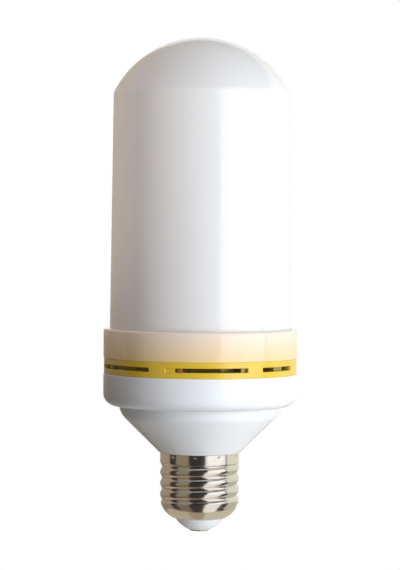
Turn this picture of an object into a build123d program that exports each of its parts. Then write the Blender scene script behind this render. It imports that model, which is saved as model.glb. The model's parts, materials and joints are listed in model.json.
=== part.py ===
from build123d import *
from math import asin, cos, pi, radians, sin, sqrt
import os

# Flame effect LED bulb, standing on its screw cap, in millimetres.
# The origin is the tip of the centre contact, +Z runs up the bulb's axis and -Y is the front.
# Angles round the axis run from the front towards +X.

# Fits
moulding_gap = 0.15
board_gap = 0.1

# Outside of the cup and the collar
body_radius = 32.0

# Screw cap, 27 mm Edison
thread_pitch = 3.629
thread_crest_radius = 13.1
thread_depth = 1.05
shell_sheet = 0.3
shell_rim_z = 26.0
shell_foot_z = 4.3
band_width = 3.4
band_slope = 0.7
foot_arc_radius = 7.9
foot_arc_height = 7.2
ridge_top_bury = 0.7
ridge_turns = 5.6
ridge_crest_gap = 0.07
ridge_foot_width = 3.1
ridge_crest_width = 0.8
punch_count = 10
punch_turn = -6.3
punch_radius = 0.65
punch_depth = 0.22
punch_taper = 30
punch_sides = 6
punch_drop = 1.0

# Cap insulator and centre contact
insulator_skirt_inset = 0.45
insulator_skirt_drop = 0.1
insulator_face_radius = 3.5
insulator_face_slope = 0.45
insulator_plug_height = 2.1
contact_head_radius = 3.2
contact_head_thickness = 0.4
contact_stem_radius = 1.2
contact_stem_rise = 1.2

# Base housing
housing_wall = 1.8
neck_foot_z = 10.0
notch_width = 1.6
notch_height = 9.5
cone_foot_overhang = 0.4
shoulder_run = 2.2
shoulder_height = 4.5
cup_step = 5.2
cup_depth = 10.6
cup_corner_radius = 3.8
cup_rim_z = 52.0
rib_count = 4
rib_turn = 45.0
rib_thickness = 1.2
rib_landing = 3.5

# Vent ring
vent_setback = 0.2
vent_height = 5.2
vent_wall = 2.4
vent_lip_depth = 1.8
vent_lip_wall = 1.15
slot_height = 1.4
long_slot_angle = 49.5
short_slot_angle = 28.3
slot_land_angle = 10.4
slot_turn = 4.0
block_angle = 5.6
block_setback = 0.4
tab_depth = 1.1
block_tab_angle = 2.6
block_tab_offset = 5.4
front_tab_angle = 4.0
front_tab_offset = 23.2
left_tab_angle = 8.0
left_tab_offset = -17.0
right_tab_angle = 9.0
right_tab_offset = 2.0

# Collar
collar_wall = 1.87
collar_height = 9.6
collar_floor = 2.0
collar_ledge_width = 1.93
collar_lip_depth = 1.5
collar_edge = 0.7

# Diffuser
diffuser_draft = 0.88
diffuser_wall = 1.5
diffuser_apex_z = 162.5
dome_height = 18.28
shoulder_blend = 3.8

# LED carrier and the lid of its tube
carrier_plate_thickness = 1.6
carrier_hole_radius = 10.0
tube_radius = 16.5
tube_wall = 1.5
tube_crown_gap = 23.7
rail_depth = 3.0
rail_width = 1.2
core_cap_thickness = 1.5
core_cap_plug_depth = 4.0

# Flame board
flex_thickness = 0.25
flex_start = 5.0
flex_stop = 1.0
flex_seam_angle = 6.0
led_rows = 7
led_columns = 6
led_width = 3.0
led_height = 2.8
led_thickness = 0.9
solder_sink = 0.13

# Driver board and its components, each with its place on the board
driver_board_clearance = 3.7
driver_board_thickness = 1.6
driver_board_drop = 6.0
bulk_capacitor_radius = 5.0
bulk_capacitor_length = 13.0
bulk_capacitor_inset = 16.5
bulk_capacitor_y = 7.0
output_capacitor_radius = 3.15
output_capacitor_length = 7.0
output_capacitor_place = (8.0, 10.0)
inductor_radius = 3.2
inductor_height = 8.0
inductor_place = (0.0, 14.0)
fuse_radius = 4.2
fuse_height = 7.5
fuse_inset = 10.5
fuse_x = -2.0
driver_ic_place = (10.0, -10.0)
rectifier_length = 4.7
rectifier_width = 4.0
rectifier_height = 2.5
rectifier_leg_pitch = 2.54
rectifier_legs_a_side = 2
rectifier_place = (-14.0, -9.0)

# Transformer
core_length = 13.2
core_width = 6.0
core_height = 10.0
core_limb = 2.6
core_centre_limb = 3.0
winding_length = 7.7
winding_width = 11.0
winding_gap = 0.1
transformer_place = (8.0, 5.0)

# Control board and its components, each with its rise above the board's foot
control_board_gap = 1.5
control_board_height = 44.0
control_board_thickness = 1.0
tilt_switch_radius = 2.2
tilt_switch_length = 6.5
tilt_switch_rise = 34.2
microcontroller_rise = 23.2
shift_register_1_rise = 15.2
shift_register_2_rise = 29.2

# Small chips
chip_length = 4.9
chip_width = 3.9
chip_height = 1.5
chip_leg_pitch = 1.27
chip_legs_a_side = 4
leg_width = 0.45
leg_thickness = 0.2
leg_reach = 1.0

# Wires
wire_radius = 0.5
wire_end_gap = 0.1
neutral_foot_x = -11.0
neutral_foot_drop = 1.6
neutral_top_x = -4.0
supply_wire_rise = 7.2
supply_positive_x = -6.0
supply_negative_x = -3.5

# Levels worked out from the sizes above
band_foot_z = shell_rim_z - band_width
root_top_z = band_foot_z - band_slope
ridge_top_z = band_foot_z + ridge_top_bury
ridge_bottom_z = ridge_top_z - ridge_turns * thread_pitch
foot_arc_z = shell_foot_z + foot_arc_height
insulator_skirt_z = shell_foot_z - insulator_skirt_drop
insulator_top_z = shell_foot_z + insulator_plug_height
contact_top_z = insulator_top_z + contact_stem_rise
cup_floor_z = cup_rim_z - cup_depth
cone_top_z = cup_floor_z - shoulder_height
driver_board_z = cup_rim_z - driver_board_drop
driver_board_top_z = driver_board_z + driver_board_thickness
collar_foot_z = cup_rim_z + vent_height
collar_rim_z = collar_foot_z + collar_height
carrier_plate_z = collar_foot_z + collar_floor
carrier_top_z = carrier_plate_z + carrier_plate_thickness
tube_top_z = diffuser_apex_z - tube_crown_gap
tube_height = tube_top_z - carrier_top_z
flex_foot_z = carrier_top_z + flex_start
flex_height = tube_height - flex_start - flex_stop

# Radii worked out from the sizes above
thread_root_radius = thread_crest_radius - thread_depth
shell_bore_radius = thread_root_radius - shell_sheet
band_bore_radius = thread_crest_radius - shell_sheet
neck_radius = shell_bore_radius - moulding_gap
band_neck_radius = band_bore_radius - moulding_gap
neck_bore_radius = neck_radius - housing_wall
cone_foot_radius = thread_crest_radius + cone_foot_overhang
shoulder_radius = body_radius - cup_step
cone_top_radius = shoulder_radius - shoulder_run
cup_bore_radius = body_radius - housing_wall
driver_board_radius = cup_bore_radius - driver_board_clearance
bulk_capacitor_place = (bulk_capacitor_inset - driver_board_radius, bulk_capacitor_y)
fuse_place = (fuse_x, fuse_inset - driver_board_radius)
vent_radius = body_radius - vent_setback
vent_bore_radius = vent_radius - vent_wall
vent_lip_radius = cup_bore_radius - moulding_gap
collar_bore_radius = body_radius - collar_wall
collar_ledge_radius = collar_bore_radius - collar_ledge_width
collar_lip_radius = vent_bore_radius - moulding_gap
diffuser_foot_radius = collar_bore_radius - moulding_gap
diffuser_top_radius = diffuser_foot_radius - diffuser_draft
dome_radius = (diffuser_top_radius**2 + dome_height**2) / (2 * dome_height)
tube_bore_radius = tube_radius - tube_wall
control_board_width = 2 * (tube_bore_radius - control_board_gap)
flex_radius = tube_radius + board_gap + flex_thickness


# Alignment of a block or can that stands on its plane
standing = (Align.CENTER, Align.CENTER, Align.MIN)


def front_direction(angle):
    """Level direction at an angle round the axis."""
    return Vector(sin(radians(angle)), -cos(radians(angle)), 0)


def foot_arc_reach(z, inset=0):
    """Distance from the axis of the shell's lower curve at a height, inset from its outer face."""
    centre = thread_crest_radius - foot_arc_radius
    return centre + sqrt((foot_arc_radius - inset) ** 2 - (foot_arc_z - z) ** 2)


def foot_arc_level(reach, inset=0):
    """Height at which that curve is the given distance from the axis."""
    centre = thread_crest_radius - foot_arc_radius
    return foot_arc_z - sqrt((foot_arc_radius - inset) ** 2 - (reach - centre) ** 2)


def ring_sector(inner_radius, outer_radius, centre_angle, width_angle):
    """Adds a sector of a flat ring to the sketch in hand."""
    start = centre_angle - width_angle / 2 - 90
    with BuildLine() as outline:
        inner = CenterArc((0, 0), inner_radius, start, width_angle)
        outer = CenterArc((0, 0), outer_radius, start, width_angle)
        Line(inner @ 0, outer @ 0)
        Line(inner @ 1, outer @ 1)
    make_face(outline.edges())


def save(piece, name):
    """Labels a finished piece and writes its file."""
    piece.part.label = name
    export_step(piece.part, f"parts/{name}.step")


os.makedirs("parts", exist_ok=True)

# Screw shell: a rolled sheet cap with a coarse rounded thread, a plain band and a turned-in foot.
# The thread is one helical ridge that runs up into the band and is worn away by the foot's curve.
with BuildPart() as screw_shell:
    with BuildSketch(Plane.XZ):
        with BuildLine():
            Polyline(
                (0, shell_rim_z),
                (thread_crest_radius, shell_rim_z),
                (thread_crest_radius, band_foot_z),
                (thread_root_radius, root_top_z),
                (thread_root_radius, shell_foot_z),
                (0, shell_foot_z),
                close=True,
            )
        make_face()
    revolve(axis=Axis.Z)
    ridge_height = thread_depth - ridge_crest_gap
    with BuildLine() as thread_path:
        Helix(thread_pitch, ridge_top_z - ridge_bottom_z, thread_root_radius, center=(0, 0, ridge_bottom_z))
    with BuildSketch(Plane((thread_root_radius, 0, ridge_bottom_z), x_dir=(1, 0, 0), z_dir=(0, -1, 0))):
        with BuildLine():
            Polyline(
                (-shell_sheet / 2, -ridge_foot_width / 2),
                (ridge_height, -ridge_crest_width / 2),
                (ridge_height, ridge_crest_width / 2),
                (-shell_sheet / 2, ridge_foot_width / 2),
                close=True,
            )
        make_face()
    sweep(path=thread_path.line, is_frenet=True)
    with BuildSketch(Plane.XZ):
        with BuildLine():
            Polyline(
                (foot_arc_reach(shell_foot_z), shell_foot_z),
                (0, shell_foot_z),
                (0, shell_rim_z + 1),
                (thread_crest_radius + 1, shell_rim_z + 1),
                (thread_crest_radius + 1, foot_arc_z),
                (thread_crest_radius, foot_arc_z),
            )
            TangentArc((thread_crest_radius, foot_arc_z), (foot_arc_reach(shell_foot_z), shell_foot_z),
                       tangent=(0, -1))
        make_face()
    revolve(axis=Axis.Z, mode=Mode.INTERSECT)
    lining_foot_z = shell_foot_z + shell_sheet
    lining_foot_radius = foot_arc_reach(lining_foot_z, shell_sheet)
    lining_top_z = foot_arc_level(shell_bore_radius, shell_sheet)
    lining_middle_z = (lining_foot_z + lining_top_z) / 2
    with BuildSketch(Plane.XZ):
        with BuildLine():
            Polyline(
                (shell_bore_radius, lining_top_z),
                (shell_bore_radius, root_top_z),
                (band_bore_radius, band_foot_z),
                (band_bore_radius, shell_rim_z + 1),
                (0, shell_rim_z + 1),
                (0, shell_foot_z - 1),
                (lining_foot_radius, shell_foot_z - 1),
                (lining_foot_radius, lining_foot_z),
                (foot_arc_reach(lining_middle_z, shell_sheet), lining_middle_z),
                close=True,
            )
        make_face()
    revolve(axis=Axis.Z, mode=Mode.SUBTRACT)
    punch_planes = []
    for index in range(punch_count):
        outward = front_direction(punch_turn + index * 360 / punch_count)
        spot = outward * thread_crest_radius + Vector(0, 0, shell_rim_z - punch_drop)
        punch_planes.append(Plane(spot, x_dir=(0, 0, 1), z_dir=outward))
    with BuildSketch(*punch_planes):
        RegularPolygon(punch_radius, punch_sides)
    extrude(amount=-punch_depth, taper=punch_taper, mode=Mode.SUBTRACT)
save(screw_shell, "screw_shell")

# Cap insulator: a moulded plug with a domed face, held behind the shell's turned-in foot
flange_foot_z = lining_foot_z + 2 * moulding_gap
flange_inset = shell_sheet + moulding_gap
plug_neck_radius = lining_foot_radius - moulding_gap
insulator_skirt_radius = foot_arc_reach(shell_foot_z) - insulator_skirt_inset
with BuildPart() as cap_insulator:
    with BuildSketch(Plane.XZ):
        with BuildLine():
            Polyline(
                (foot_arc_reach(flange_foot_z, flange_inset), flange_foot_z),
                (foot_arc_reach(insulator_top_z, flange_inset), insulator_top_z),
                (0, insulator_top_z),
                (0, contact_head_thickness),
                (insulator_face_radius, contact_head_thickness),
            )
            TangentArc((insulator_face_radius, contact_head_thickness),
                       (insulator_skirt_radius, insulator_skirt_z), tangent=(1, insulator_face_slope))
            Polyline(
                (insulator_skirt_radius, insulator_skirt_z),
                (plug_neck_radius, shell_foot_z),
                (plug_neck_radius, flange_foot_z),
                (foot_arc_reach(flange_foot_z, flange_inset), flange_foot_z),
            )
        make_face()
    revolve(axis=Axis.Z)
    with BuildSketch(Plane.XY.offset(contact_head_thickness)):
        Circle(contact_stem_radius + moulding_gap)
    extrude(amount=insulator_top_z - contact_head_thickness, mode=Mode.SUBTRACT)
save(cap_insulator, "cap_insulator")

# Centre contact: a rivet through the insulator
with BuildPart() as centre_contact:
    with BuildSketch():
        Circle(contact_head_radius)
    extrude(amount=contact_head_thickness)
    with BuildSketch(Plane.XY.offset(contact_head_thickness)):
        Circle(contact_stem_radius)
    extrude(amount=contact_top_z - contact_head_thickness)
save(centre_contact, "centre_contact")

# Base housing: neck, cone and cup in one moulding, with ribs inside that carry the driver board
cone_run = Vector(cone_top_radius - cone_foot_radius, cone_top_z - shell_rim_z)
cone_inward = Vector(-cone_run.Y, cone_run.X).normalized()
inner_cone_top = Vector(cone_top_radius, cone_top_z) + cone_inward * housing_wall
inner_cone_foot_z = inner_cone_top.Y - (inner_cone_top.X - neck_bore_radius) * cone_run.Y / cone_run.X
inner_floor_z = cup_floor_z + housing_wall
inner_shoulder_radius = shoulder_radius - housing_wall
cup_floor_radius = body_radius - cup_corner_radius
corner_top_z = cup_floor_z + cup_corner_radius
rib_reach = housing_wall + driver_board_clearance + rib_landing


def housing_section():
    """Half section of the housing's outer form, not yet hollow."""
    with BuildSketch(Plane.XZ) as section:
        with BuildLine():
            Polyline(
                (0, neck_foot_z),
                (neck_radius, neck_foot_z),
                (neck_radius, root_top_z),
                (band_neck_radius, band_foot_z),
                (band_neck_radius, shell_rim_z),
                (cone_foot_radius, shell_rim_z),
                (cone_top_radius, cone_top_z),
            )
            TangentArc((cone_top_radius, cone_top_z), (shoulder_radius, cup_floor_z),
                       tangent=(cone_run.X, cone_run.Y))
            Line((shoulder_radius, cup_floor_z), (cup_floor_radius, cup_floor_z))
            TangentArc((cup_floor_radius, cup_floor_z), (body_radius, corner_top_z), tangent=(1, 0))
            Polyline(
                (body_radius, corner_top_z),
                (body_radius, cup_rim_z),
                (0, cup_rim_z),
                (0, neck_foot_z),
            )
        make_face()
    return section.sketch


with BuildPart() as housing_cavity:
    with BuildSketch(Plane.XZ):
        with BuildLine():
            Polyline(
                (0, neck_foot_z - 1),
                (neck_bore_radius, neck_foot_z - 1),
                (neck_bore_radius, inner_cone_foot_z),
                (inner_cone_top.X, inner_cone_top.Y),
                (inner_shoulder_radius, inner_floor_z),
                (cup_floor_radius, inner_floor_z),
                (cup_bore_radius, corner_top_z),
                (cup_bore_radius, cup_rim_z + 1),
                (0, cup_rim_z + 1),
                close=True,
            )
        make_face()
    revolve(axis=Axis.Z)
    with BuildSketch(Plane.XY.offset(neck_foot_z)):
        with PolarLocations(body_radius - rib_reach / 2, rib_count, rib_turn):
            Rectangle(rib_reach, rib_thickness)
    extrude(amount=driver_board_z - neck_foot_z, mode=Mode.SUBTRACT)

with BuildPart() as base_housing:
    revolve(housing_section(), axis=Axis.Z)
    add(housing_cavity.part, mode=Mode.SUBTRACT)
    with BuildSketch(Plane.XY.offset(neck_foot_z)):
        with Locations((-neck_radius, 0)):
            Rectangle(4 * housing_wall, notch_width)
    extrude(amount=notch_height, mode=Mode.SUBTRACT)
save(base_housing, "base_housing")

# Vent ring: a slotted wall with a locating lip below, and a block and tabs that close parts of the slots
slot_z = cup_rim_z + (vent_height - slot_height) / 2
left_slot_centre = slot_turn - long_slot_angle - slot_land_angle
right_slot_centre = slot_turn + (long_slot_angle + short_slot_angle) / 2 + slot_land_angle
block_centre = slot_turn - (long_slot_angle - block_angle) / 2
block_radius = vent_radius - block_setback
tab_radius = vent_bore_radius + tab_depth
slots = [
    (left_slot_centre, long_slot_angle),
    (slot_turn, long_slot_angle),
    (right_slot_centre, short_slot_angle),
]
infills = [
    (block_centre, block_angle, block_radius),
    (block_centre + block_tab_offset, block_tab_angle, tab_radius),
    (slot_turn + front_tab_offset, front_tab_angle, tab_radius),
    (left_slot_centre + left_tab_offset, left_tab_angle, tab_radius),
    (right_slot_centre + right_tab_offset, right_tab_angle, tab_radius),
]
lip_bore_radius = vent_lip_radius - vent_lip_wall
with BuildPart() as vent_ring:
    with BuildSketch(Plane.XZ):
        with BuildLine():
            Polyline(
                (vent_bore_radius, collar_foot_z),
                (vent_radius, collar_foot_z),
                (vent_radius, cup_rim_z),
                (vent_lip_radius, cup_rim_z),
                (vent_lip_radius, cup_rim_z - vent_lip_depth),
                (lip_bore_radius, cup_rim_z - vent_lip_depth),
                (lip_bore_radius, cup_rim_z),
                (vent_bore_radius, cup_rim_z + vent_bore_radius - lip_bore_radius),
                close=True,
            )
        make_face()
    revolve(axis=Axis.Z)
    for half_turn in (0, 180):
        for centre, width in slots:
            with BuildSketch(Plane.XY.offset(slot_z)):
                ring_sector(vent_bore_radius - 1, vent_radius + 1, centre + half_turn, width)
            extrude(amount=slot_height, mode=Mode.SUBTRACT)
    for centre, width, reach in infills:
        with BuildSketch(Plane.XY.offset(slot_z)):
            ring_sector(vent_bore_radius, reach, centre, width)
        extrude(amount=slot_height)
save(vent_ring, "vent_ring")

# Collar: a sleeve round the diffuser's foot, with a ledge for the LED carrier and a lip into the vent ring
with BuildPart() as collar_ring:
    with BuildSketch(Plane.XZ):
        with BuildLine():
            Polyline(
                (body_radius, collar_foot_z),
                (body_radius, collar_rim_z),
                (collar_bore_radius, collar_rim_z),
                (collar_bore_radius, carrier_plate_z),
                (collar_ledge_radius, carrier_plate_z),
                (collar_ledge_radius, collar_foot_z - collar_lip_depth),
                (collar_lip_radius, collar_foot_z - collar_lip_depth),
                (collar_lip_radius, collar_foot_z),
                close=True,
            )
        make_face()
    revolve(axis=Axis.Z)
    rim_edges = collar_ring.edges().filter_by(GeomType.CIRCLE).group_by(Axis.Z)[-1].sort_by(SortBy.RADIUS)
    chamfer(rim_edges[-1], collar_edge)
save(collar_ring, "collar_ring")


def dome_section(top_radius, foot_radius, arc_radius, blend):
    """Half section of a drafted cup with a low spherical top and, if asked for, a blended shoulder."""
    centre_z = diffuser_apex_z - dome_radius
    top_z = centre_z + arc_radius
    shoulder_z = centre_z + sqrt(arc_radius**2 - top_radius**2)
    middle_angle = asin(top_radius / arc_radius) / 2
    with BuildSketch(Plane.XZ) as section:
        with BuildLine():
            Polyline((0, top_z), (0, carrier_top_z), (foot_radius, carrier_top_z), (top_radius, shoulder_z))
            ThreePointArc(
                (top_radius, shoulder_z),
                (arc_radius * sin(middle_angle), centre_z + arc_radius * cos(middle_angle)),
                (0, top_z),
            )
        make_face()
        if blend:
            fillet(section.vertices().sort_by_distance((top_radius, shoulder_z, 0))[0], blend)
    return section.sketch


# Diffuser: an opal cup with a low dome, open at its foot
with BuildPart() as diffuser:
    outside = dome_section(diffuser_top_radius, diffuser_foot_radius, dome_radius, shoulder_blend)
    revolve(outside, axis=Axis.Z)
    inside = dome_section(diffuser_top_radius - diffuser_wall, diffuser_foot_radius - diffuser_wall,
                          dome_radius - diffuser_wall, 0)
    revolve(inside, axis=Axis.Z, mode=Mode.SUBTRACT)
save(diffuser, "diffuser")

# LED carrier: a plate held between the collar and the diffuser, with a tube for the flame board and rails
# for the control board
with BuildPart() as led_carrier:
    with BuildSketch(Plane.XY.offset(carrier_plate_z)):
        Circle(diffuser_foot_radius)
        Circle(carrier_hole_radius, mode=Mode.SUBTRACT)
    extrude(amount=carrier_plate_thickness)
    with BuildSketch(Plane.XY.offset(carrier_top_z)):
        Circle(tube_radius)
        Circle(tube_bore_radius, mode=Mode.SUBTRACT)
    extrude(amount=tube_height)
    rail_length = rail_depth + tube_wall / 2
    rail_x = tube_bore_radius - rail_depth + rail_length / 2
    rail_y = control_board_thickness / 2 + board_gap + rail_width / 2
    with BuildSketch(Plane.XY.offset(carrier_top_z)):
        with GridLocations(2 * rail_x, 2 * rail_y, 2, 2):
            Rectangle(rail_length, rail_width)
    extrude(amount=control_board_height)
save(led_carrier, "led_carrier")

# Core cap: a lid plugged into the top of the tube
core_cap_plug_radius = tube_bore_radius - moulding_gap
with BuildPart() as core_cap:
    with BuildSketch(Plane.XY.offset(tube_top_z)):
        Circle(tube_radius)
    extrude(amount=core_cap_thickness)
    with BuildSketch(Plane.XY.offset(tube_top_z)):
        Circle(core_cap_plug_radius)
    extrude(amount=-core_cap_plug_depth)
save(core_cap, "core_cap")

# Flame board: a flexible board rolled round the tube, its seam at the back, with rows of LED packages
led_planes = []
for column in range(led_columns):
    column_angle = 180 + flex_seam_angle / 2 + (column + 0.5) * (360 - flex_seam_angle) / led_columns
    outward = front_direction(column_angle)
    spot = outward * (flex_radius - solder_sink) + Vector(0, 0, flex_foot_z + flex_height / 2)
    led_planes.append(Plane(spot, x_dir=(0, 0, 1), z_dir=outward))
with BuildPart() as led_flex_board:
    with BuildSketch(Plane.XY.offset(flex_foot_z)):
        ring_sector(tube_radius + board_gap, flex_radius, 0, 360 - flex_seam_angle)
    extrude(amount=flex_height)
    with BuildSketch(*led_planes):
        with GridLocations(flex_height / led_rows, 0, led_rows, 1):
            Rectangle(led_height, led_width)
    extrude(amount=led_thickness + solder_sink)
save(led_flex_board, "led_flex_board")

# Driver board: a round board resting on the housing's ribs
with BuildPart(Plane.XY.offset(driver_board_z)) as driver_board:
    Cylinder(driver_board_radius, driver_board_thickness, align=standing)
save(driver_board, "driver_board")


def under_board(place):
    """Plane on the underside of the driver board, facing down."""
    return Plane((*place, driver_board_z), x_dir=(1, 0, 0), z_dir=(0, 0, -1))


def over_board(place):
    """Plane on the upper side of the driver board, facing up."""
    return Plane((*place, driver_board_top_z), x_dir=(1, 0, 0), z_dir=(0, 0, 1))


def control_front(rise):
    """Plane on the front of the control board, facing forwards."""
    return Plane((0, -control_board_thickness / 2, carrier_top_z + rise), x_dir=(1, 0, 0), z_dir=(0, -1, 0))


def control_back(rise):
    """Plane on the back of the control board, facing backwards."""
    return Plane((0, control_board_thickness / 2, carrier_top_z + rise), x_dir=(1, 0, 0), z_dir=(0, 1, 0))


def make_can(name, plane, radius, length):
    """Round component standing on the plane."""
    with BuildPart(plane) as can:
        Cylinder(radius, length, align=standing)
    save(can, name)


def make_chip(name, plane):
    """Small moulded chip on the plane, with a row of legs along both long sides."""
    with BuildPart(plane) as chip:
        Box(chip_length, chip_width, chip_height, align=standing)
        with GridLocations(chip_leg_pitch, 0, chip_legs_a_side, 1):
            Box(leg_width, chip_width + 2 * leg_reach, leg_thickness, align=standing)
    save(chip, name)


make_can("bulk_capacitor", under_board(bulk_capacitor_place), bulk_capacitor_radius, bulk_capacitor_length)
make_can("output_capacitor", over_board(output_capacitor_place), output_capacitor_radius,
         output_capacitor_length)
make_can("line_fuse", under_board(fuse_place), fuse_radius, fuse_height)
make_can("line_inductor", under_board(inductor_place), inductor_radius, inductor_height)
make_chip("driver_ic", over_board(driver_ic_place))

# Bridge rectifier: a taller block with two legs along both long sides
with BuildPart(over_board(rectifier_place)) as bridge_rectifier:
    Box(rectifier_length, rectifier_width, rectifier_height, align=standing)
    with GridLocations(rectifier_leg_pitch, 0, rectifier_legs_a_side, 1):
        Box(leg_width, rectifier_width + 2 * leg_reach, leg_thickness, align=standing)
save(bridge_rectifier, "bridge_rectifier")

# Transformer: a two-window core with a winding round its centre limb
window_width = (core_length - 2 * core_limb - core_centre_limb) / 2
window_height = core_height - 2 * core_limb
transformer_plane = under_board(transformer_place)
with BuildPart(transformer_plane) as transformer_core:
    Box(core_length, core_width, core_height, align=standing)
    with Locations((0, 0, core_height / 2)):
        with GridLocations(core_centre_limb + window_width, 0, 2, 1):
            Box(window_width, core_width, window_height, mode=Mode.SUBTRACT)
save(transformer_core, "transformer_core")

with BuildPart(transformer_plane) as transformer_winding:
    with Locations((0, 0, core_height / 2)):
        Box(winding_length, winding_width, window_height - 2 * winding_gap)
        Box(core_centre_limb + 2 * winding_gap, core_width + 2 * winding_gap, window_height, mode=Mode.SUBTRACT)
save(transformer_winding, "transformer_winding")

# Control board: upright in the tube, its edges in the rails and its foot on the carrier plate
with BuildPart(Plane.XY.offset(carrier_top_z)) as control_board:
    Box(control_board_width, control_board_thickness, control_board_height, align=standing)
save(control_board, "control_board")

make_chip("microcontroller", control_front(microcontroller_rise))
make_chip("shift_register_1", control_back(shift_register_1_rise))
make_chip("shift_register_2", control_back(shift_register_2_rise))
make_can("tilt_switch", control_front(tilt_switch_rise), tilt_switch_radius, tilt_switch_length)


def make_wire(name, foot, top):
    """Insulated wire drawn straight from its foot to its top."""
    with BuildPart() as wire:
        with BuildLine() as route:
            Line(foot, top)
        with BuildSketch(Plane(route.line @ 0, z_dir=route.line % 0)):
            Circle(wire_radius)
        sweep(path=route.line)
    save(wire, name)
    length = route.wires()[0].length
    print(name, "length", round(length, 1), "volume", round(wire.part.volume, 2),
          "section by length", round(pi * wire_radius**2 * length, 2))


# Wires: the mains pair up through the neck, and the supply pair up into the tube
wire_lie_y = -control_board_thickness / 2 - board_gap - wire_radius
supply_wire_top_z = carrier_top_z + supply_wire_rise
make_wire("live_wire", (0, 0, contact_top_z), (0, 0, driver_board_z))
make_wire("neutral_wire", (neutral_foot_x, 0, neck_foot_z - neutral_foot_drop),
          (neutral_top_x, 0, driver_board_z - wire_end_gap))
make_wire("supply_wire_positive", (supply_positive_x, wire_lie_y, driver_board_top_z),
          (supply_positive_x, wire_lie_y, supply_wire_top_z))
make_wire("supply_wire_negative", (supply_negative_x, wire_lie_y, driver_board_top_z),
          (supply_negative_x, wire_lie_y, supply_wire_top_z))
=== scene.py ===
import json
import math

import bpy
from mathutils import Matrix, Vector


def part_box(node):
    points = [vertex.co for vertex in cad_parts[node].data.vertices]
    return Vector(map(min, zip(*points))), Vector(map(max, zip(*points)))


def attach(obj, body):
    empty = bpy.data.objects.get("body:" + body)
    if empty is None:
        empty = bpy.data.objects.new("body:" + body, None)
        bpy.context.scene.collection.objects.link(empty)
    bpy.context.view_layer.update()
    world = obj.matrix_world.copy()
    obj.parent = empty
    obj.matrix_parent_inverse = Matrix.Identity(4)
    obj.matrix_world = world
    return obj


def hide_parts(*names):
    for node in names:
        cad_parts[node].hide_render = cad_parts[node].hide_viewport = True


# Looks of the flame effect LED bulb. Lengths are in millimetres until a mesh or lamp is made.
# Angles round the bulb run from the front, -Y, towards +X, as they do in the part's source.
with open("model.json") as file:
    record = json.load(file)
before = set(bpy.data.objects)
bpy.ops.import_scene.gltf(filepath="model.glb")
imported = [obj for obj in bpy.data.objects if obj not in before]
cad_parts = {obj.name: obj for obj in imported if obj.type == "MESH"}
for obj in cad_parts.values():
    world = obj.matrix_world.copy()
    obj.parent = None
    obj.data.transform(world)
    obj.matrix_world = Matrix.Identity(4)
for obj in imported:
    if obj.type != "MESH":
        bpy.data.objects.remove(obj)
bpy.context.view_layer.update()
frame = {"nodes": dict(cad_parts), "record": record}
MM = 0.001
ROUND_STEPS = 256
FILLET_STEPS = 8
SHARP_ANGLE = 35.0
ON_AXIS = 1e-6

# Camera, fitted to the photograph
CAMERA_DISTANCE = 760.0
CAMERA_HEIGHT = 99.0
CAMERA_OFFSET = -0.25
CAMERA_PITCH = -1.35
CAMERA_ROLL = 0.37
FIELD_OF_VIEW = 14.1
SENSOR_SIZE = 36.0

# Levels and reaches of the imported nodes
RING_FOOT, RING_RIM = (corner * 1000 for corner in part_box("vent_ring"))
COLLAR_FOOT, COLLAR_RIM = (corner * 1000 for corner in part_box("collar_ring"))
DIFFUSER_FOOT, DIFFUSER_APEX = (corner * 1000 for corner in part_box("diffuser"))
HOUSING_FOOT, HOUSING_RIM = (corner * 1000 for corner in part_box("base_housing"))
SHELL_FOOT, SHELL_RIM = (corner * 1000 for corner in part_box("screw_shell"))
CONTACT_FOOT, CONTACT_TOP = (corner * 1000 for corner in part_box("centre_contact"))
MOULDING_GAP = 0.15


# Meshes

def new_object(name, points, faces):
    """An object from points in millimetres."""
    mesh = bpy.data.meshes.new(name)
    mesh.from_pydata([Vector(point) * MM for point in points], [], faces)
    mesh.update()
    thing = bpy.data.objects.new(name, mesh)
    bpy.context.scene.collection.objects.link(thing)
    return thing


def smooth(mesh, sharp_angle=SHARP_ANGLE):
    """Shade a mesh smooth, apart from its sharper edges."""
    for polygon in mesh.polygons:
        polygon.use_smooth = True
    mesh.set_sharp_from_angle(angle=math.radians(sharp_angle))


def mesh_piece(name, points, faces, node, slot, material, sharp_angle=SHARP_ANGLE):
    """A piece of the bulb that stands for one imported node."""
    piece = new_object(name, points, faces)
    smooth(piece.data, sharp_angle)
    piece.data.materials.append(material)
    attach(piece, "root")
    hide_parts(node)
    return piece


def shaped(piece, tools, operation):
    """Join slabs to a piece or cut them out of it."""
    for tool in tools:
        change = piece.modifiers.new(tool.name, "BOOLEAN")
        change.operation = operation
        change.solver = "EXACT"
        change.object = tool
    bpy.context.view_layer.update()
    view = bpy.context.evaluated_depsgraph_get()
    mesh = bpy.data.meshes.new_from_object(piece.evaluated_get(view))
    piece.modifiers.clear()
    piece.data = mesh
    smooth(mesh)
    for tool in tools:
        bpy.data.objects.remove(tool)


def slab(name, outline, thickness, angle):
    """Closed slab of an outline (reach, height), set along the bulb's radius at an angle."""
    side = around(angle + 90) * thickness / 2
    points = []
    for way in (-1, 1):
        points += [point_at(angle, reach, height) + side * way for reach, height in outline]
    count = len(outline)
    faces = [tuple(range(count)), tuple(reversed(range(count, 2 * count)))]
    for step in range(count):
        after = (step + 1) % count
        faces.append((after, step, count + step, count + after))
    return new_object(name, points, faces)


def around(angle):
    """Level direction at an angle round the bulb, in degrees from the front."""
    return Vector((math.sin(math.radians(angle)), -math.cos(math.radians(angle)), 0))


def point_at(angle, reach, height):
    """Point at an angle round the bulb, a reach from its axis and a height."""
    return around(angle) * reach + Vector((0, 0, height))


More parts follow.
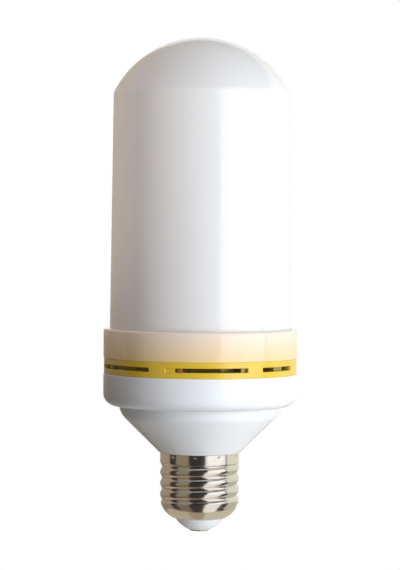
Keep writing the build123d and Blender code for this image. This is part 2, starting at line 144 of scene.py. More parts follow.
def arc(centre, radius, start, end, steps=FILLET_STEPS):
    """Corners along an arc between two angles in degrees, none of them rounded."""
    corners = []
    for step in range(steps + 1):
        turn = math.radians(start + (end - start) * step / steps)
        reach = centre[0] + radius * math.cos(turn)
        corners.append((reach, centre[1] + radius * math.sin(turn), 0))
    return corners


def arc_through(start, end, inward, steps):
    """Corners along the arc through two points (reach, height), its centre inward of the first."""
    chord = Vector(end) - Vector(start)
    radius = chord.length_squared / (2 * chord.dot(inward))
    centre = Vector(start) + inward * radius

    def heading(reach, height):
        return math.degrees(math.atan2(height - centre.y, reach - centre.x))

    return arc(centre, radius, heading(*start), heading(*end), steps)


def rounded(corners):
    """Closed outline through corners (reach, height, rounding radius)."""
    outline = []
    for index, (reach, height, radius) in enumerate(corners):
        here = Vector((reach, height))
        if not radius:
            outline.append(here)
            continue
        back = (Vector(corners[index - 1][:2]) - here).normalized()
        ahead = (Vector(corners[(index + 1) % len(corners)][:2]) - here).normalized()
        half = back.angle(ahead) / 2
        centre = here + (back + ahead).normalized() * radius / math.sin(half)
        start = here + back * radius / math.tan(half) - centre
        turn = start.angle_signed(here + ahead * radius / math.tan(half) - centre)
        for step in range(FILLET_STEPS + 1):
            spoke = start.copy()
            spoke.rotate(Matrix.Rotation(-turn * step / FILLET_STEPS, 2))
            outline.append(centre + spoke)
    return outline


def turned(outline, steps=ROUND_STEPS):
    """Points and faces of a closed outline turned round the bulb's axis."""
    points = []
    rows = []
    for reach, height in outline:
        if reach < ON_AXIS:
            rows.append([len(points)] * steps)
            points.append((0, 0, height))
            continue
        rows.append(range(len(points), len(points) + steps))
        for step in range(steps):
            points.append(point_at(360 * step / steps, reach, height))
    faces = []
    for lower, upper in zip(rows, rows[1:] + rows[:1]):
        for step in range(steps):
            after = (step + 1) % steps
            loop = [lower[step], lower[after], upper[after], upper[step]]
            corners = list(dict.fromkeys(loop))
            if len(corners) > 2:
                faces.append(corners)
    return points, faces


def turned_piece(name, corners, node, slot, material, steps=ROUND_STEPS):
    """A piece turned round the bulb's axis from the corners of its section."""
    return mesh_piece(name, *turned(rounded(corners), steps), node, slot, material)


# Materials

CLOUD_SCALE = 60.0
CLOUD_RANGE = (0.3, 0.7)
ROUGHNESS_SPREAD = 0.15
GRAIN_SCALE = 1800.0
GRAIN_DEPTH = 0.02
GRAIN_STRENGTH = 0.35
MARK_SCALE = 320.0
MARK_STRETCH = 14
MARK_DEPTH = 0.03
MARK_STRENGTH = 0.25


def new_material(name):
    """A material with Blender's usual shader."""
    material = bpy.data.materials.new(name)
    material.use_nodes = True
    return material


def shader_of(material):
    """The shader of a material."""
    return material.node_tree.nodes["Principled BSDF"]


def plastic(name, colour, shade, roughness, cloud_scale=CLOUD_SCALE):
    """Moulded plastic: colour drifts faintly to shade, with a fine orange-peel surface."""
    material = new_material(name)
    shader = shader_of(material)
    nodes = material.node_tree.nodes
    links = material.node_tree.links
    place = nodes.new("ShaderNodeTexCoord")
    cloud = nodes.new("ShaderNodeTexNoise")
    cloud.inputs["Scale"].default_value = cloud_scale
    cloud.inputs["Detail"].default_value = 4.0
    links.new(place.outputs["Object"], cloud.inputs["Vector"])
    drift = nodes.new("ShaderNodeMix")
    drift.data_type = "RGBA"
    drift.inputs["A"].default_value = (*colour, 1)
    drift.inputs["B"].default_value = (*shade, 1)
    links.new(cloud.outputs["Fac"], drift.inputs["Factor"])
    links.new(drift.outputs["Result"], shader.inputs["Base Color"])
    gloss = nodes.new("ShaderNodeMapRange")
    gloss.inputs["From Min"].default_value, gloss.inputs["From Max"].default_value = CLOUD_RANGE
    gloss.inputs["To Min"].default_value = roughness * (1 - ROUGHNESS_SPREAD)
    gloss.inputs["To Max"].default_value = roughness * (1 + ROUGHNESS_SPREAD)
    links.new(cloud.outputs["Fac"], gloss.inputs["Value"])
    links.new(gloss.outputs["Result"], shader.inputs["Roughness"])
    grain = nodes.new("ShaderNodeTexNoise")
    grain.inputs["Scale"].default_value = GRAIN_SCALE
    grain.inputs["Detail"].default_value = 2.0
    links.new(place.outputs["Object"], grain.inputs["Vector"])
    bump = nodes.new("ShaderNodeBump")
    bump.inputs["Strength"].default_value = GRAIN_STRENGTH
    bump.inputs["Distance"].default_value = GRAIN_DEPTH * MM
    links.new(grain.outputs["Fac"], bump.inputs["Height"])
    links.new(bump.outputs["Normal"], shader.inputs["Normal"])
    return material


def banded_plastic(name, low_colour, high_colour, low, high, roughness):
    """Plastic whose colour runs from one at a low height to another at a high one."""
    material = plastic(name, low_colour, low_colour, roughness)
    nodes = material.node_tree.nodes
    links = material.node_tree.links
    place = nodes["Texture Coordinate"]
    split = nodes.new("ShaderNodeSeparateXYZ")
    links.new(place.outputs["Object"], split.inputs["Vector"])
    climb = nodes.new("ShaderNodeMapRange")
    climb.inputs["From Min"].default_value = low * MM
    climb.inputs["From Max"].default_value = high * MM
    links.new(split.outputs["Z"], climb.inputs["Value"])
    blend = nodes.new("ShaderNodeMix")
    blend.data_type = "RGBA"
    blend.inputs["A"].default_value = (*low_colour, 1)
    blend.inputs["B"].default_value = (*high_colour, 1)
    links.new(climb.outputs["Result"], blend.inputs["Factor"])
    links.new(blend.outputs["Result"], shader_of(material).inputs["Base Color"])
    return material


def plated_metal(name, colour, shade, roughness):
    """Bright metal over rolled sheet, with faint marks that run round the bulb's axis."""
    material = plastic(name, colour, shade, roughness, 3 * CLOUD_SCALE)
    nodes = material.node_tree.nodes
    links = material.node_tree.links
    shader_of(material).inputs["Metallic"].default_value = 1.0
    stretch = nodes.new("ShaderNodeMapping")
    stretch.inputs["Scale"].default_value = (1, 1, MARK_STRETCH)
    links.new(nodes["Texture Coordinate"].outputs["Object"], stretch.inputs["Vector"])
    marks = nodes.new("ShaderNodeTexNoise")
    marks.inputs["Scale"].default_value = MARK_SCALE
    marks.inputs["Detail"].default_value = 5.0
    links.new(stretch.outputs["Vector"], marks.inputs["Vector"])
    links.new(marks.outputs["Fac"], nodes["Bump"].inputs["Height"])
    nodes["Bump"].inputs["Strength"].default_value = MARK_STRENGTH
    nodes["Bump"].inputs["Distance"].default_value = MARK_DEPTH * MM
    return material


def painted_inner_shade(material, reach, blend, tint):
    """Painted shade: colour falls to a darker tint nearer the bulb's axis than a reach, over the
    width of a blend, for the shade on faces set back from the outside.
    """
    nodes = material.node_tree.nodes
    links = material.node_tree.links
    shader = shader_of(material)
    colour = shader.inputs["Base Color"].links[0].from_socket
    level = nodes.new("ShaderNodeVectorMath")
    level.operation = "MULTIPLY"
    level.inputs[1].default_value = (1, 1, 0)
    links.new(nodes["Texture Coordinate"].outputs["Object"], level.inputs[0])
    length = nodes.new("ShaderNodeVectorMath")
    length.operation = "LENGTH"
    links.new(level.outputs[0], length.inputs[0])
    rise = nodes.new("ShaderNodeMapRange")
    rise.inputs["From Min"].default_value = (reach - blend) * MM
    rise.inputs["From Max"].default_value = reach * MM
    links.new(length.outputs["Value"], rise.inputs["Value"])
    mix = nodes.new("ShaderNodeMix")
    mix.data_type = "RGBA"
    mix.inputs["A"].default_value = (*tint, 1)
    links.new(rise.outputs["Result"], mix.inputs["Factor"])
    links.new(colour, mix.inputs["B"])
    links.new(mix.outputs["Result"], shader.inputs["Base Color"])


def set_evenly(material, values):
    """Values that are the same all over a surface, on the shader's own sockets."""
    for socket, value in values.items():
        shader_of(material).inputs[socket].default_value = value


OPAL = plastic("opal_diffuser", (0.84, 0.84, 0.85), (0.815, 0.815, 0.83), 0.11)
set_evenly(OPAL, {
    "Subsurface Weight": 0.2,
    "Subsurface Radius": (1, 1, 1),
    "Subsurface Scale": 3 * MM,
})
CREAM = banded_plastic(
    "cream_collar", (0.88, 0.645, 0.34), (0.89, 0.765, 0.67), RING_RIM.z, COLLAR_RIM.z, 0.08
)
YELLOW = plastic("yellow_ring", (0.78, 0.54, 0.04), (0.75, 0.515, 0.035), 0.2)
# Painted shade: the ring's faces nearer the axis than 31 mm, in the slots and on the tabs behind
# them, take a dark olive tint.
painted_inner_shade(YELLOW, reach=31.0, blend=0.45, tint=(0.30, 0.235, 0.03))
for glossy in (OPAL, CREAM, YELLOW):
    set_evenly(glossy, {"Specular IOR Level": 1.0})
WHITE = plastic("white_housing", (0.86, 0.885, 0.93), (0.84, 0.865, 0.91), 0.14)
NICKEL = plated_metal("plated_shell", (0.80, 0.76, 0.70), (0.72, 0.68, 0.62), 0.15)
INSULATOR = plastic("white_insulator", (0.86, 0.91, 0.95), (0.84, 0.89, 0.94), 0.15)
BRASS = plated_metal("plated_contact", (0.75, 0.68, 0.55), (0.66, 0.58, 0.45), 0.25)
INNER_FINISHES = {
    "white_inner": plastic("white_inner", (0.82, 0.82, 0.8), (0.78, 0.78, 0.76), 0.5),
    "flex_board": plastic("flex_board", (0.86, 0.83, 0.74), (0.8, 0.77, 0.66), 0.4),
    "green_board": plastic(
        "green_board", (0.05, 0.24, 0.11), (0.03, 0.17, 0.08), 0.35, cloud_scale=500.0
    ),
    "black_chip": plastic("black_chip", (0.03, 0.03, 0.03), (0.045, 0.045, 0.045), 0.55),
    "component_can": plated_metal("component_can", (0.62, 0.62, 0.64), (0.52, 0.52, 0.54), 0.3),
    "component_sleeve": plastic("component_sleeve", (0.09, 0.11, 0.16), (0.07, 0.08, 0.12), 0.4),
    "ferrite": plastic("ferrite", (0.11, 0.11, 0.12), (0.16, 0.15, 0.15), 0.7, cloud_scale=900.0),
    "winding_tape": plastic("winding_tape", (0.82, 0.66, 0.12), (0.75, 0.57, 0.08), 0.35),
    "red_wire": plastic("red_wire", (0.5, 0.04, 0.03), (0.42, 0.03, 0.03), 0.45),
    "black_wire": plastic("black_wire", (0.03, 0.03, 0.03), (0.04, 0.04, 0.04), 0.45),
}


# Camera

def place_camera():
    """Camera in front of the bulb, with the photograph's view and slight roll."""
    data = bpy.data.cameras.new("camera")
    data.sensor_fit = "VERTICAL"
    data.sensor_height = SENSOR_SIZE
    data.lens = SENSOR_SIZE / 2 / math.tan(math.radians(FIELD_OF_VIEW / 2))
    data.clip_start = 10 * MM
    camera = bpy.data.objects.new("camera", data)
    bpy.context.scene.collection.objects.link(camera)
    position = Vector((CAMERA_OFFSET, -CAMERA_DISTANCE, CAMERA_HEIGHT)) * MM
    tilt = Matrix.Rotation(math.radians(90 + CAMERA_PITCH), 4, "X")
    roll = Matrix.Rotation(math.radians(CAMERA_ROLL), 4, "Z")
    camera.matrix_world = Matrix.Translation(position) @ tilt @ roll
    bpy.context.scene.camera = camera


place_camera()


# Diffuser: an opal cup with a drafted wall, a blended shoulder and a low dome

def make_diffuser():
    wall = 1.5
    blend = 3.8
    blend_rounds = 30
    dome_height = 18.28
    dome_steps = 28
    edge = 0.25
    draft = 0.88
    foot_reach = DIFFUSER_APEX.x
    top_reach = foot_reach - draft
    dome_radius = (top_reach**2 + dome_height**2) / (2 * dome_height)
    dome_centre = DIFFUSER_APEX.z - dome_radius
    shoulder = DIFFUSER_APEX.z - dome_height
    lean = draft / (shoulder - DIFFUSER_FOOT.z)

    # The blend's centre settles where it touches the leaning wall and the dome
    blend_height = shoulder
    for _ in range(blend_rounds):
        blend_reach = top_reach + (shoulder - blend_height) * lean - blend * math.hypot(1, lean)
        blend_height = dome_centre + math.sqrt((dome_radius - blend)**2 - blend_reach**2)
    blend_centre = (blend_reach, blend_height)
    wall_angle = math.degrees(math.atan(lean))
    dome_angle = math.degrees(math.atan2(blend_height - dome_centre, blend_reach))
    corners = [(foot_reach, DIFFUSER_FOOT.z, edge)]
    corners += arc(blend_centre, blend, wall_angle, dome_angle)
    corners += arc((0, dome_centre), dome_radius, dome_angle, 90, dome_steps)[1:]
    corners += arc((0, dome_centre), dome_radius - wall, 90, dome_angle, dome_steps)
    corners += arc(blend_centre, blend - wall, dome_angle, wall_angle)[1:]
    corners.append((foot_reach - wall, DIFFUSER_FOOT.z, edge))
    turned_piece("opal_cup", corners, "diffuser", "opal_diffuser", OPAL)


# Collar: a cream sleeve with a rounded top edge, a ledge inside and a lip below

def make_collar():
    outside = COLLAR_RIM.x
    bore = outside - 1.87
    ledge = bore - 1.93
    lip_reach = 29.25
    foot = COLLAR_FOOT.z + 1.5
    plate = foot + 2.0
    corners = [
        (outside, foot, 0.25),
        (outside, COLLAR_RIM.z, 0.9),
        (bore, COLLAR_RIM.z, 0.4),
        (bore, plate, 0.2),
        (ledge, plate, 0.2),
        (ledge, COLLAR_FOOT.z, 0.2),
        (lip_reach, COLLAR_FOOT.z, 0.2),
        (lip_reach, foot, 0.1),
    ]
    turned_piece("cream_sleeve", corners, "collar_ring", "cream_collar", CREAM)


# Vent ring: a wall of small cells, with the slots left out and the block and tabs left in

def make_vent_ring():
    lip_bore, bore, lip_reach = 28.9, 29.4, 30.05
    tab_reach, block_reach, outside = 30.5, 31.4, RING_RIM.x
    slot_height = 1.4
    long_slot, short_slot, land, turn = 49.5, 28.3, 10.4, 4.0
    block_width = 5.6
    left = turn - long_slot - land
    right = turn + (long_slot + short_slot) / 2 + land
    block = turn - (long_slot - block_width) / 2
    cup_rim = HOUSING_RIM.z
    slot_foot = cup_rim + (RING_RIM.z - cup_rim - slot_height) / 2
    heights = [RING_FOOT.z, cup_rim, slot_foot, slot_foot + slot_height, RING_RIM.z]
    lip_row, slot_row = 0, 2
    reaches = [lip_bore, bore, lip_reach, tab_reach, block_reach, outside]

    # Centre and width of each slot, then centre, width and reach of what closes parts of them
    slots = []
    for half_turn in (0, 180):
        for centre, width in ((left, long_slot), (turn, long_slot), (right, short_slot)):
            slots.append((centre + half_turn, width))
    infills = [
        (block, block_width, block_reach),
        (block + 5.4, 2.6, tab_reach),
        (turn + 23.2, 4.0, tab_reach),
        (left - 17.0, 8.0, tab_reach),
        (right + 2.0, 9.0, tab_reach),
    ]

    # Every slot's and infill's edge is an angle of the mesh, with even steps between them
    even_step, clearance = 1.5, 0.4
    edges = {centre + side * width / 2 for centre, width in slots for side in (-1, 1)}
    edges |= {centre + side * width / 2 for centre, width, _ in infills for side in (-1, 1)}
    angles = {round(edge % 360, 4) for edge in edges}
    even = {even_step * step for step in range(int(360 / even_step))}
    angles |= {new for new in even if min(abs(new - angle) for angle in angles) > clearance}
    angles = sorted(angles)

    def within(angle, centre, width):
        return abs((angle - centre + 180) % 360 - 180) < width / 2

    def solid(turn_index, reach_index, height_index):
        if not (0 <= reach_index < len(reaches) - 1 and 0 <= height_index < len(heights) - 1):
            return False
        if height_index == lip_row:
            return reaches[reach_index] < lip_reach
        if reaches[reach_index] < bore:
            return False
        if height_index != slot_row:
            return True
        ahead = angles[(turn_index + 1) % len(angles)]
        middle = angles[turn_index] + ((ahead - angles[turn_index]) % 360) / 2
        for centre, width, reach in infills:
            if within(middle, centre, width) and reaches[reach_index + 1] <= reach:
                return True
        return not any(within(middle, centre, width) for centre, width in slots)

    points = []
    index_of = {}

    def corner(turn_index, reach_index, height_index):
        key = (turn_index % len(angles), reach_index, height_index)
        if key not in index_of:
            index_of[key] = len(points)
            points.append(point_at(angles[key[0]], reaches[reach_index], heights[height_index]))
        return index_of[key]

    # The step from a cell to its neighbour, and the corners of the face between them
    sides = {
        (-1, 0, 0): ((0, 0, 0), (0, 0, 1), (0, 1, 1), (0, 1, 0)),
        (1, 0, 0): ((1, 0, 0), (1, 1, 0), (1, 1, 1), (1, 0, 1)),
        (0, -1, 0): ((0, 0, 0), (1, 0, 0), (1, 0, 1), (0, 0, 1)),
        (0, 1, 0): ((0, 1, 0), (0, 1, 1), (1, 1, 1), (1, 1, 0)),
        (0, 0, -1): ((0, 0, 0), (0, 1, 0), (1, 1, 0), (1, 0, 0)),
        (0, 0, 1): ((0, 0, 1), (1, 0, 1), (1, 1, 1), (0, 1, 1)),
    }
    faces = []
    for a in range(len(angles)):
        for r in range(len(reaches) - 1):
            for h in range(len(heights) - 1):
                if not solid(a, r, h):
                    continue
                for (da, dr, dh), loop in sides.items():
                    if not solid((a + da) % len(angles), r + dr, h + dh):
                        faces.append([corner(a + x, r + y, h + z) for x, y, z in loop])
    ring = mesh_piece("slotted_ring", points, faces, "vent_ring", "yellow_ring", YELLOW)
    soften = ring.modifiers.new("soft_edges", "BEVEL")
    soften.width = 0.12 * MM
    soften.segments = 2
    soften.angle_limit = math.radians(40)
    soften.harden_normals = True


# Screw shell: rolled sheet with a rounded thread, a punched band and a turned-in foot

PITCH = 3.629
CREST = 13.1
ROOT = 12.05
THREAD_DEPTH = 0.65
CREST_SPAN = 2.3
BAND_HEIGHT = 3.4
RUN_OUT = 0.7
BAND_FOOT = SHELL_RIM.z - BAND_HEIGHT
ROOT_TOP = BAND_FOOT - RUN_OUT
RIDGE_TOP = BAND_FOOT + RUN_OUT
RIDGE_TURNS = 5.6
RUN_OUT_SOFTNESS = 0.12
FOOT_SOFTNESS = 0.2
FOOT_ARC_RADIUS = 7.9
FOOT_ARC_TOP = SHELL_FOOT.z + 7.2
PUNCH_COUNT = 10
PUNCH_TURN = -6.3
PUNCH_REACH = 0.75
PUNCH_DEPTH = 0.26
PUNCH_DROP = 1.0
SHEET = 0.3


def soft_maximum(first, second, softness):
    """The larger of two values, rounded where they cross."""
    return (first + second + math.sqrt((first - second)**2 + softness**2) - softness) / 2


def foot_reach(height, inset=0.0):
    """Reach of the shell's lower curve at a height."""
    if height >= FOOT_ARC_TOP:
        return CREST - inset
    drop = FOOT_ARC_TOP - height
    return CREST - FOOT_ARC_RADIUS + math.sqrt((FOOT_ARC_RADIUS - inset)**2 - drop**2)


def thread_reach(angle, height):
    """Reach of the knuckle thread: a broad arc for the crest and a tighter one for the root."""
    slope_angle = 2 * math.atan(2 * THREAD_DEPTH / PITCH)
    crest_arc = CREST_SPAN / 2 / math.sin(slope_angle)
    root_arc = (PITCH - CREST_SPAN) / 2 / math.sin(slope_angle)
    from_right = (angle - 90) % 360
    crest_height = RIDGE_TOP - RIDGE_TURNS * PITCH + PITCH * from_right / 360
    away = abs((height - crest_height + PITCH / 2) % PITCH - PITCH / 2)
    if away < CREST_SPAN / 2:
        return CREST - crest_arc + math.sqrt(crest_arc**2 - away**2)
    return CREST - THREAD_DEPTH + root_arc - math.sqrt(root_arc**2 - (PITCH / 2 - away)**2)


def shell_reach(angle, height):
    """Reach of the shell's outer face."""
    climb = min(max((height - ROOT_TOP) / (BAND_FOOT - ROOT_TOP), 0), 1)
    band = ROOT + (CREST - ROOT) * climb * climb * (3 - 2 * climb)
    reach = soft_maximum(thread_reach(angle, height), band, RUN_OUT_SOFTNESS)
    if height > BAND_FOOT:
        reach = CREST
        step = 360 / PUNCH_COUNT
        off_angle = (angle - PUNCH_TURN + step / 2) % step - step / 2
        across = math.radians(off_angle) * CREST
        distance = math.hypot(across, height - SHELL_RIM.z + PUNCH_DROP) / PUNCH_REACH
        if distance < 1:
            reach -= PUNCH_DEPTH * (1 - distance**2)**2
    return -soft_maximum(-reach, -foot_reach(height), FOOT_SOFTNESS)


def make_shell():
    steps = 384
    rows = 180
    edge = 0.12
    sharp_angle = 50.0
    wall_top = SHELL_RIM.z - edge
    heights = [SHELL_FOOT.z + (wall_top - SHELL_FOOT.z) * row / rows for row in range(rows + 1)]
    bore = ROOT - SHEET
    across = bore - CREST + FOOT_ARC_RADIUS
    lining_foot = SHELL_FOOT.z + SHEET
    lining_top = FOOT_ARC_TOP - math.sqrt((FOOT_ARC_RADIUS - SHEET)**2 - across**2)
    lining_middle = (lining_foot + lining_top) / 2
    lining_reach = foot_reach(lining_foot, SHEET)
    inside = [
        (CREST - edge, SHELL_RIM.z),
        (CREST - SHEET, SHELL_RIM.z),
        (CREST - SHEET, BAND_FOOT),
        (bore, ROOT_TOP),
        (bore, lining_top),
        (foot_reach(lining_middle, SHEET), lining_middle),
        (lining_reach, lining_foot),
        (lining_reach, SHELL_FOOT.z),
    ]
    points = []
    for height in heights:
        for step in range(steps):
            angle = 360 * step / steps
            points.append(point_at(angle, shell_reach(angle, height), height))
    for reach, height in inside:
        for step in range(steps):
            points.append(point_at(360 * step / steps, reach, height))
    count = len(heights) + len(inside)
    faces = []
    for row in range(count):
        lower = row * steps
        upper = (row + 1) % count * steps
        for step in range(steps):
            after = (step + 1) % steps
            faces.append((lower + step, lower + after, upper + after, upper + step))
    mesh_piece("threaded_shell", points, faces, "screw_shell", "plated_shell", NICKEL, sharp_angle)


# Base housing: neck, cone and cup in one moulding

def make_housing():
    wall = 1.8
    outside = HOUSING_RIM.x
    neck, band_neck = 11.6, 12.65
    cone_foot = 13.5
    cup_corner = 3.8
    cup_floor = HOUSING_RIM.z - 10.6
    shoulder = outside - 5.2
    shoulder_steps = 14
    cone_top = (shoulder - 2.2, cup_floor - 4.5)
    run = Vector((cone_top[0] - cone_foot, cone_top[1] - SHELL_RIM.z)).normalized()
    inward = Vector((-run.y, run.x))
    inner_top = Vector(cone_top) + inward * wall
    inner_foot = inner_top.y - (inner_top.x - neck + wall) * run.y / run.x
    bow = arc_through(cone_top, (shoulder, cup_floor), inward, shoulder_steps)
    corners = [
        (neck - wall, HOUSING_FOOT.z, 0.2),
        (neck, HOUSING_FOOT.z, 0.2),
        (neck, ROOT_TOP, 0.2),
        (band_neck, BAND_FOOT, 0.2),
        (band_neck, SHELL_RIM.z, 0),
        (cone_foot, SHELL_RIM.z, 0.25),
        *bow,
        (outside, cup_floor, cup_corner),
        (outside, HOUSING_RIM.z, 0.25),
        (outside - wall, HOUSING_RIM.z, 0.25),
        (outside - wall, cup_floor + wall, cup_corner - wall),
        (shoulder - wall, cup_floor + wall, 0.8),
        (*inner_top, 1.5),
        (neck - wall, inner_foot, 1.5),
    ]
    cup = turned_piece("cup_and_cone", corners, "base_housing", "white_housing", WHITE)

    # Ribs that carry the driver board, their outer edge inside the cup's wall
    rib_thickness = 1.2
    rib_reach = outside - 9.0
    board = HOUSING_RIM.z - 6.0
    middle_cone = Vector(cone_top) + inward * wall / 2
    rib = [
        (rib_reach, middle_cone.y - (middle_cone.x - rib_reach) * run.y / run.x),
        tuple(middle_cone),
        (shoulder - wall / 2, cup_floor + wall / 2),
        (outside - cup_corner, cup_floor + wall / 2),
        (outside - wall / 2, cup_floor + cup_corner),
        (outside - wall / 2, board),
        (rib_reach, board),
    ]
    ribs = [slab(f"rib_{turn}", rib, rib_thickness, turn) for turn in (45, 135, 225, 315)]
    shaped(cup, ribs, "UNION")

    # Notch in the neck for the neutral wire
    notch_width, notch_top, clear = 1.6, HOUSING_FOOT.z + 9.5, 1
    near, far = neck - 2 * wall, neck + wall
    below = HOUSING_FOOT.z - clear
    notch = [(near, below), (far, below), (far, notch_top), (near, notch_top)]
    shaped(cup, [slab("notch", notch, notch_width, -90)], "DIFFERENCE")


# Cap insulator: a moulded plug with a domed face, and the rivet through it

def make_insulator():
    face_reach, face_height = 3.5, 0.4
    face_steps = 20
    bore = 1.35
    skirt = (8.0, SHELL_FOOT.z - 0.1)
    plug = foot_reach(SHELL_FOOT.z + SHEET, SHEET) - MOULDING_GAP
    flange_foot = SHELL_FOOT.z + SHEET + 2 * MOULDING_GAP
    top = SHELL_FOOT.z + 2.1
    inset = SHEET + MOULDING_GAP
    slope = Vector((1, 0.45)).normalized()
    inward = Vector((-slope.y, slope.x))
    corners = [
        (bore, face_height, 0),
        *arc_through((face_reach, face_height), skirt, inward, face_steps),
        (plug, SHELL_FOOT.z, 0),
        (plug, flange_foot, 0),
        (foot_reach(flange_foot, inset), flange_foot, 0),
        (foot_reach(top, inset), top, 0.2),
        (bore, top, 0),
    ]
    turned_piece("tip_insulator", corners, "cap_insulator", "white_insulator", INSULATOR)


def make_contact():
    head_reach, head_top, head_round = 3.2, 0.4, 0.18
    stem_reach = 1.2
    steps = 96
    corners = [
        (0, CONTACT_FOOT.z, 0),
        (head_reach, CONTACT_FOOT.z, head_round),
        (head_reach, head_top, head_round),
        (stem_reach, head_top, 0),
        (stem_reach, CONTACT_TOP.z, 0.3),
        (0, CONTACT_TOP.z, 0),
    ]
    turned_piece("tip_rivet", corners, "centre_contact", "plated_contact", BRASS, steps)


make_diffuser()
make_collar()
make_vent_ring()
make_housing()
make_shell()
make_insulator()
make_contact()

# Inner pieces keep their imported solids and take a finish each
for part in frame["record"]["subparts"]:
    finish = INNER_FINISHES.get(part["material_slot"])
    if finish:
        node = frame["nodes"][part["node"]]
        node.data.materials.clear()
        node.data.materials.append(finish)


# Studio

FLOOR_LEVEL = -150.0
FAR_TABLE_LEVEL = FLOOR_LEVEL + 1
NEAR_TABLE_LEVEL = FLOOR_LEVEL + 2
CARD_STEPS = 24
SECTOR_STEPS = 48
FAR_CARD = 1300
NEAR_CARD = 420

# Cards that stand round the bulb: start and end angle, foot, top, distance and colour
CARDS = {
    "window_glass": (20, 80.5, -345, 805, FAR_CARD, (1.22, 1.24, 1.26)),
    "window_head": (20, 80.5, 805, 1100, FAR_CARD, (0.35, 0.35, 0.36)),
    "dark_right": (80.5, 85, -300, 1100, FAR_CARD, (0.05, 0.045, 0.04)),
    "pale_back_right": (85, 168, -300, 1100, FAR_CARD, (0.90, 0.87, 0.78)),
    "dark_front_low": (-31, 16.5, FAR_TABLE_LEVEL, 10, NEAR_CARD, (0.035, 0.033, 0.037)),
    "dark_front_high": (-31, 23.2, 10, 700, NEAR_CARD, (0.035, 0.033, 0.037)),
    "warm_left": (-72, -28, -300, 1100, FAR_CARD, (0.31, 0.25, 0.18)),
    "dark_left": (-96, -72, -300, 1100, FAR_CARD, (0.05, 0.045, 0.04)),
    "warm_back_left": (-168, -96, -300, 1100, FAR_CARD, (0.39, 0.32, 0.25)),
}

# Discs that the level cards are parts of: radius, height and how far behind the axis
HOOD = (1300, 1000, 0)
DARK_HOOD = (1290, 998, 0)
FAR_TABLE = (900, FAR_TABLE_LEVEL, 0)
NEAR_TABLE = (204, NEAR_TABLE_LEVEL, 135)

# Level cards above and below: start and end angle, disc and colour
LEVEL_CARDS = {
    "hood": (-180, 180, HOOD, (0.30, 0.30, 0.31)),
    "dark_hood": (-31, 17, DARK_HOOD, (0.06, 0.06, 0.06)),
    "far_back_left": (-180, -96, FAR_TABLE, (0.30, 0.25, 0.19)),
    "far_dark_left": (-96, -72, FAR_TABLE, (0.06, 0.05, 0.04)),
    "far_left": (-72, -31, FAR_TABLE, (0.22, 0.18, 0.13)),
    "far_front": (-31, 16.5, FAR_TABLE, (0.05, 0.045, 0.045)),
    "far_right": (16.5, 68, FAR_TABLE, (1.0, 0.98, 0.94)),
    "far_dark_right": (68, 95, FAR_TABLE, (0.07, 0.06, 0.05)),
    "far_back_right": (95, 180, FAR_TABLE, (0.60, 0.57, 0.48)),
    "near_left": (-180, -19, NEAR_TABLE, (0.54, 0.47, 0.37)),
    "near_front": (-19, 10, NEAR_TABLE, (0.42, 0.34, 0.25)),
    "near_right": (10, 180, NEAR_TABLE, (0.66, 0.62, 0.52)),
}

# Soft light for diffuse rays: the side that each lobe comes from, and its colour
SIDE_LIGHT = {
    "front": ((0, -1, 0), (0.645, 0.645, 0.64)),
    "back": ((0, 1, 0), (1.85, 1.95, 1.75)),
    "above": ((0, 0, 1), (0.12, 0.115, 0.115)),
    "left_back": ((-0.7, 0.7, 0), (0.4, 0.12, 0.0)),
}


def bare_mesh(name, points, faces, material):
    """An object of the studio."""
    thing = new_object(name, points, faces)
    thing.data.materials.append(material)
    return thing


def glow(name, colour):
    """Material of a card, which gives its own light and takes none."""
    material = new_material(name)
    set_evenly(material, {
        "Base Color": (0, 0, 0, 1),
        "Specular IOR Level": 0.0,
        "Emission Color": (*colour, 1),
        "Emission Strength": 1.0,
    })
    return material


def card(name, start, end, steps, rows, colour, behind=0):
    """A card between two angles and two rows (distance, height), seen by glossy surfaces alone."""
    points = []
    for distance, height in rows:
        for step in range(steps + 1):
            spoke = around(start + (end - start) * step / steps) * distance
            points.append(spoke + Vector((0, behind, height)))
    faces = [(step, step + 1, steps + step + 2, steps + step + 1) for step in range(steps)]
    panel = bare_mesh(name, points, faces, glow(name, colour))
    panel.visible_camera = False
    panel.visible_diffuse = False
    panel.visible_shadow = False


def make_cards():
    """What the bulb's gloss and plating mirror: a window, a pale room, dark bands and a table."""
    for name, (start, end, low, high, distance, colour) in CARDS.items():
        card(name, start, end, CARD_STEPS, ((distance, low), (distance, high)), colour)
    for name, (start, end, (radius, height, behind), colour) in LEVEL_CARDS.items():
        card(name, start, end, SECTOR_STEPS, ((0, height), (radius, height)), colour, behind)


def make_floor():
    """Plain pale floor, some way below the bulb."""
    half = 650.0
    corners = ((-half, -half), (half, -half), (half, half), (-half, half))
    points = [(across, along, FLOOR_LEVEL) for across, along in corners]
    material = plastic("floor", (0.8, 0.8, 0.8), (0.78, 0.78, 0.78), 0.7, cloud_scale=4.0)
    bare_mesh("floor", points, [(0, 1, 2, 3)], material)


def make_flag():
    """Dark flag low on the left that holds back diffuse light."""
    side, low, high, near, far = -54.0, -110.0, 69.0, -150.0, 120.0
    points = [(side, near, low), (side, far, low), (side, far, high), (side, near, high)]
    material = new_material("flag")
    set_evenly(material, {"Base Color": (0.02, 0.018, 0.016, 1), "Roughness": 0.9})
    flag = bare_mesh("flag", points, [(0, 1, 2, 3)], material)
    flag.visible_camera = False
    flag.visible_glossy = False


def lamp(name, kind, place, colour, target=None):
    """A lamp at a place, turned to a target, with no reflection of its own."""
    data = bpy.data.lights.new(name, kind)
    data.color = colour
    thing = bpy.data.objects.new(name, data)
    bpy.context.scene.collection.objects.link(thing)
    thing.location = place * MM
    if target:
        thing.rotation_euler = (target * MM - thing.location).to_track_quat("-Z", "Y").to_euler()
    thing.visible_camera = False
    thing.visible_glossy = False
    return data


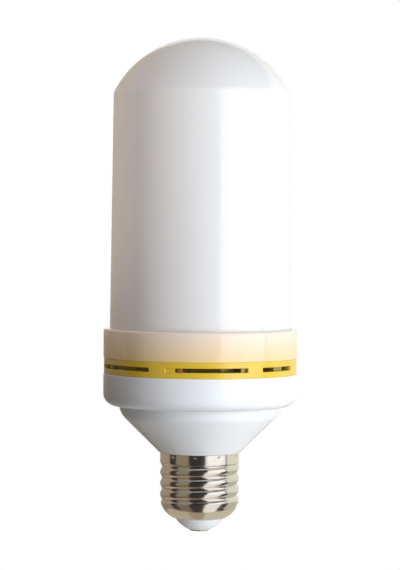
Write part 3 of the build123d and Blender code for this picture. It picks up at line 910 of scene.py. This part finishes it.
def make_window():
    """Large soft light in front and to the right, like a tall window."""
    azimuth, distance, level, aim = 50.0, 1250.0, 230.0, 100.0
    width, height = 900.0, 1150.0
    radiance = 4.15
    place = point_at(azimuth, distance, level)
    data = lamp("window", "AREA", place, (0.965, 1.0, 1.04), Vector((0, 0, aim)))
    data.shape = "RECTANGLE"
    data.size = width * MM
    data.size_y = height * MM
    data.energy = radiance * math.pi * data.size * data.size_y


def make_low_fill():
    """Soft lamp near the floor that lifts the cone and the cap's insulator."""
    azimuth, distance, level, aim = 50.0, 420.0, -135.0, 30.0
    size, power = 300.0, 0.32
    place = point_at(azimuth, distance, level)
    data = lamp("low_fill", "AREA", place, (0.92, 0.97, 1.05), Vector((0, 0, aim)))
    data.shape = "SQUARE"
    data.size = size * MM
    data.energy = power


def make_seep_lamp():
    """Faint warm lamp behind the vent slots, for the light that the real collar and ring let in."""
    radius, power = 0.5, 0.006
    place = Vector((2, -14, (HOUSING_RIM.z + RING_RIM.z) / 2))
    data = lamp("seep", "POINT", place, (1.0, 0.72, 0.15))
    data.shadow_soft_size = radius * MM
    data.energy = power


def shown_ray(nodes, links):
    """One for camera, glossy and transmission rays, and nought for the rest."""
    path = nodes.new("ShaderNodeLightPath")
    total = path.outputs["Is Camera Ray"]
    for name in ("Is Glossy Ray", "Is Transmission Ray"):
        larger = nodes.new("ShaderNodeMath")
        larger.operation = "MAXIMUM"
        links.new(total, larger.inputs[0])
        links.new(path.outputs[name], larger.inputs[1])
        total = larger.outputs[0]
    return total


def make_world():
    """White behind the bulb for shown rays, and lobes of soft light for the rest."""
    world = bpy.data.worlds.new("world")
    bpy.context.scene.world = world
    world.use_nodes = True
    nodes = world.node_tree.nodes
    links = world.node_tree.links
    seen = nodes["Background"]
    seen.inputs["Color"].default_value = (1, 1, 1, 1)
    seen.inputs["Strength"].default_value = 1.0
    place = nodes.new("ShaderNodeTexCoord")
    total = None
    for direction, colour in SIDE_LIGHT.values():
        facing = nodes.new("ShaderNodeVectorMath")
        facing.operation = "DOT_PRODUCT"
        facing.inputs[1].default_value = direction
        links.new(place.outputs["Generated"], facing.inputs[0])
        lobe = nodes.new("ShaderNodeMath")
        lobe.operation = "MAXIMUM"
        lobe.inputs[1].default_value = 0.0
        links.new(facing.outputs["Value"], lobe.inputs[0])
        tint = nodes.new("ShaderNodeVectorMath")
        tint.operation = "SCALE"
        tint.inputs[0].default_value = colour
        links.new(lobe.outputs[0], tint.inputs["Scale"])
        both = nodes.new("ShaderNodeVectorMath")
        if total:
            links.new(total, both.inputs[0])
        links.new(tint.outputs[0], both.inputs[1])
        total = both.outputs[0]
    ambient = nodes.new("ShaderNodeBackground")
    links.new(total, ambient.inputs["Color"])
    mix = nodes.new("ShaderNodeMixShader")
    links.new(shown_ray(nodes, links), mix.inputs[0])
    links.new(ambient.outputs[0], mix.inputs[1])
    links.new(seen.outputs[0], mix.inputs[2])
    links.new(mix.outputs[0], nodes["World Output"].inputs["Surface"])


make_floor()
make_flag()
make_window()
make_low_fill()
make_seep_lamp()
make_world()
make_cards()

bpy.context.scene.view_settings.view_transform = "Standard"
